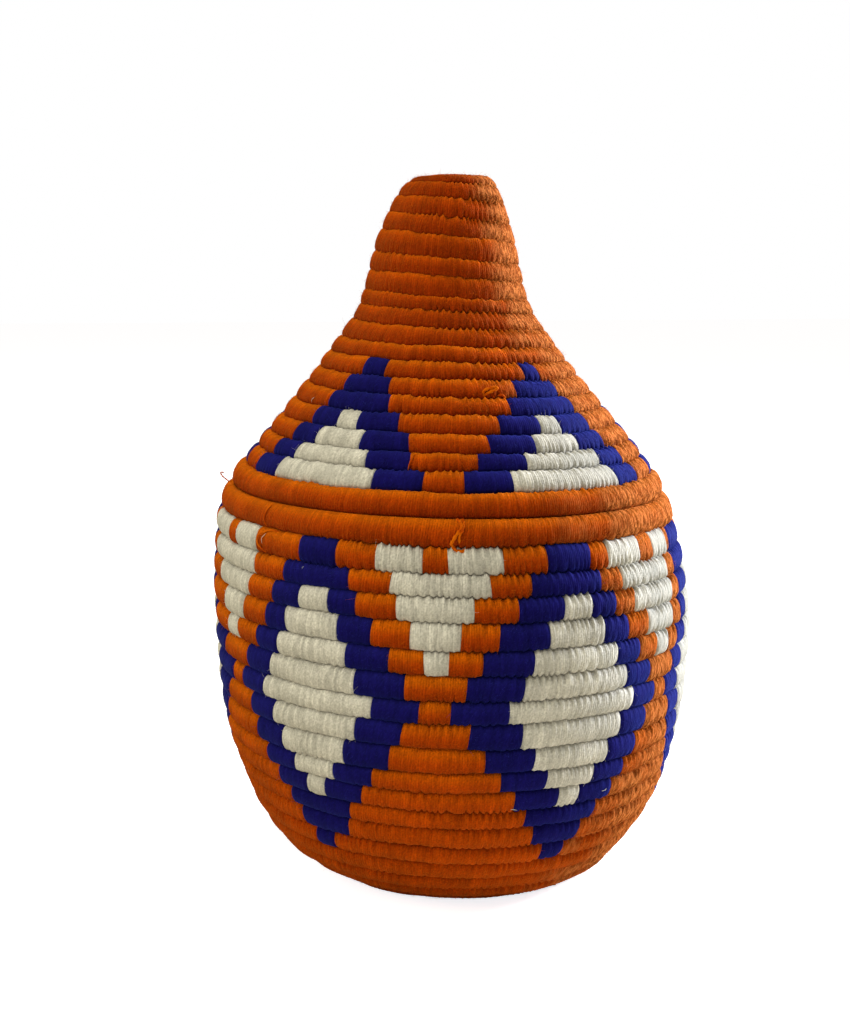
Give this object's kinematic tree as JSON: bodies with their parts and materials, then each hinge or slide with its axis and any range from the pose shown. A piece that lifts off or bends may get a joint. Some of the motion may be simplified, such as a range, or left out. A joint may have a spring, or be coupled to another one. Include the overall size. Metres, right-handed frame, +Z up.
{
  "type": "lidded basket",
  "caption": "Gourd-shaped storage basket coiled from a yarn-wrapped core, with a stepped triangle pattern and a tall lift-off lid that seats on the rim.",
  "frame": {"origin": "the middle of the base, on the surface that the basket stands on", "axes": "+Z up from the base to the crown of the lid, -Y towards the front, where a blue and white motif of the pot lies on each side of the middle"},
  "size_m": [0.1893, 0.1893, 0.2725],
  "materials": {
    "yarn_orange": "matt spun yarn, wrapped close round a core",
    "yarn_white": "matt spun yarn, wrapped close round a core",
    "yarn_blue": "matt spun yarn, wrapped close round a core"
  },
  "bodies": {
    "pot": {"pot_base_knot": "yarn_orange", "pot_base_turn_1": "yarn_orange", "pot_base_turn_2": "yarn_orange", "pot_base_turn_3": "yarn_orange", "pot_base_turn_4": "yarn_orange", "pot_base_turn_5": "yarn_orange", "pot_base_turn_6": "yarn_orange", "pot_base_turn_7": "yarn_orange", "pot_row_17": "yarn_orange", "pot_row_16": "yarn_orange", "pot_row_15": "yarn_orange", "pot_row_14": "yarn_orange", "pot_row_13": "yarn_orange", "pot_row_12": "yarn_orange", "pot_row_11": "yarn_orange", "pot_row_10": "yarn_orange", "pot_row_09": "yarn_blue", "pot_row_08": "yarn_white", "pot_row_07": "yarn_white", "pot_row_06": "yarn_white", "pot_row_05": "yarn_white", "pot_row_04": "yarn_white", "pot_row_03": "yarn_white", "pot_row_02": "yarn_white", "pot_row_01": "yarn_orange", "pot_rim": "yarn_orange"},
    "lid": {"lid_crown_knot": "yarn_orange", "lid_crown_turn_1": "yarn_orange", "lid_crown_turn_2": "yarn_orange", "lid_plain_row_01": "yarn_orange", "lid_plain_row_02": "yarn_orange", "lid_plain_row_03": "yarn_orange", "lid_plain_row_04": "yarn_orange", "lid_plain_row_05": "yarn_orange", "lid_plain_row_06": "yarn_orange", "lid_plain_row_07": "yarn_orange", "lid_plain_row_08": "yarn_orange", "lid_plain_row_09": "yarn_orange", "lid_plain_row_10": "yarn_orange", "lid_plain_row_11": "yarn_orange", "lid_pattern_row_01": "yarn_orange", "lid_pattern_row_02": "yarn_orange", "lid_pattern_row_03": "yarn_orange", "lid_pattern_row_04": "yarn_orange", "lid_pattern_row_05": "yarn_blue", "lid_pattern_row_06": "yarn_white", "lid_pattern_row_07": "yarn_white", "lid_rim": "yarn_orange", "lid_collar_turn_1": "yarn_orange", "lid_collar_turn_2": "yarn_orange"}
  },
  "joints": [
    {"name": "lid_lift", "type": "slide", "parent": "pot", "child": "lid", "axis": [0, 0, 1], "range_m": [0, 0.12]}
  ]
}
